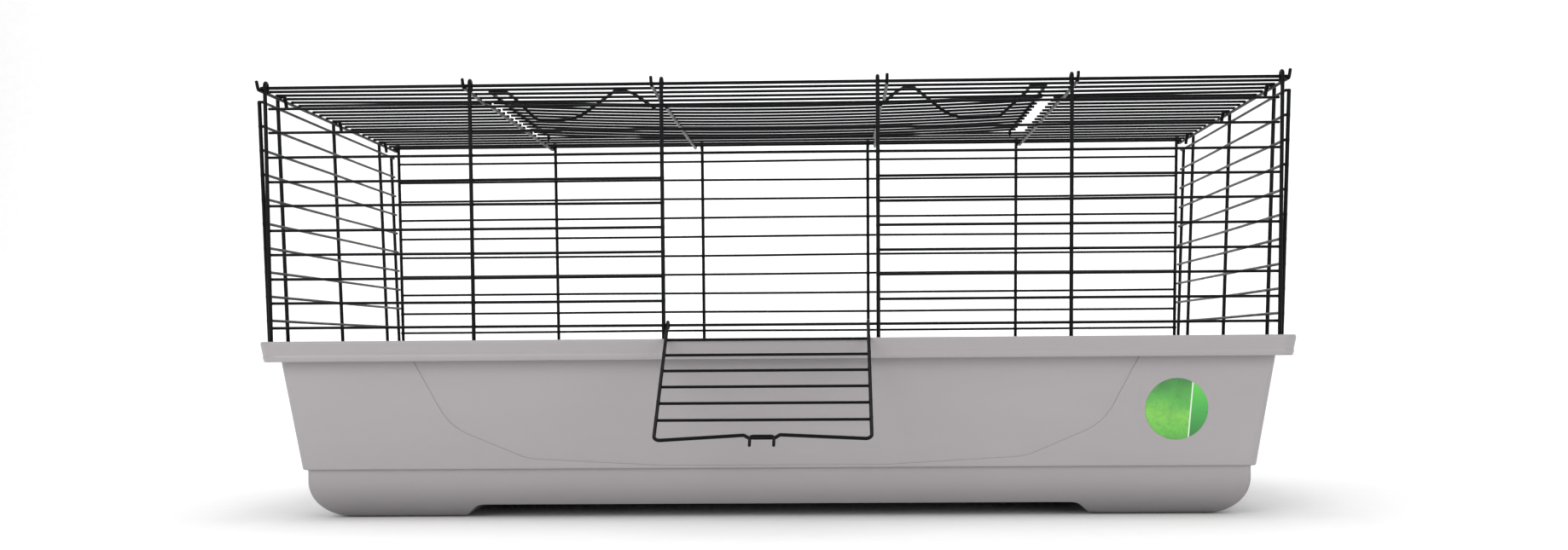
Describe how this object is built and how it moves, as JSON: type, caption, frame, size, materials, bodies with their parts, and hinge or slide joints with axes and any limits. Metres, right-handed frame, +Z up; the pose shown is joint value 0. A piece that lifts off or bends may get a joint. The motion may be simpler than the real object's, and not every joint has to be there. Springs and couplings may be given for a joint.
{
  "type": "wire rabbit cage",
  "caption": "Long wire-top cage for a rabbit on a deep plastic base tray, with a front door that hangs open and a roof door.",
  "frame": {"origin": "centre of the whole object's footprint, on the floor, with the front door hanging open", "axes": "+X along the cage's length to the right when facing its front, +Y from the front panel to the rear panel, +Z up"},
  "size_m": [1.0016, 0.6676, 0.4296],
  "materials": {
    "tray_plastic": "light warm-grey injection-moulded plastic, satin, with faint moulding texture and scuffs on the rim",
    "black_wire": "black coated steel wire, satin, slightly uneven coating thicker at the welds",
    "label": "round printed sticker, plain green with a pale divider, laminated"
  },
  "bodies": {
    "tray": {"tray_base": "tray_plastic", "front_label": "label"},
    "wire_top": {"roof_front_wire": "black_wire", "roof_rear_wire": "black_wire", "roof_front_strip_wires": "black_wire", "roof_rear_strip_wires": "black_wire", "roof_hinge_wire": "black_wire", "roof_left_wires": "black_wire", "roof_right_wires": "black_wire", "roof_cross_wires": "black_wire", "roof_short_cross_wires": "black_wire", "front_uprights": "black_wire", "rear_uprights": "black_wire", "rear_rows": "black_wire", "front_top_rows": "black_wire", "front_left_rows": "black_wire", "front_right_rows": "black_wire", "front_hinge_wire": "black_wire"},
    "left_wall": {"left_wall_uprights": "black_wire", "left_wall_rows": "black_wire"},
    "right_wall": {"right_wall_uprights": "black_wire", "right_wall_rows": "black_wire"},
    "front_door": {"front_door_frame": "black_wire", "front_door_rows": "black_wire", "front_door_latch": "black_wire"},
    "roof_door": {"roof_door_left_frame": "black_wire", "roof_door_right_frame": "black_wire", "roof_door_front_wire": "black_wire", "roof_door_rows": "black_wire", "roof_door_inner_wires": "black_wire"}
  },
  "joints": [
    {"name": "wire_top_lift", "type": "slide", "parent": "tray", "child": "wire_top", "axis": [0, 0, 1], "range_m": [0, 0.15]},
    {"name": "front_door_hinge", "type": "hinge", "parent": "wire_top", "child": "front_door", "pos_m": [-0.00136, -0.18447, 0.1885], "axis": [-1, 0, 0], "range_deg": [0, 125.5]},
    {"name": "roof_door_hinge", "type": "hinge", "parent": "wire_top", "child": "roof_door", "pos_m": [-0.00136, 0.22213, 0.42175], "axis": [-1, 0, 0], "range_deg": [0, 160]},
    {"name": "left_wall_fold", "type": "hinge", "parent": "wire_top", "child": "left_wall", "pos_m": [-0.49546, 0.06613, 0.4191], "axis": [0, -1, 0], "range_deg": [0, 80]},
    {"name": "right_wall_fold", "type": "hinge", "parent": "wire_top", "child": "right_wall", "pos_m": [0.49274, 0.06613, 0.4191], "axis": [0, 1, 0], "range_deg": [0, 80]}
  ]
}
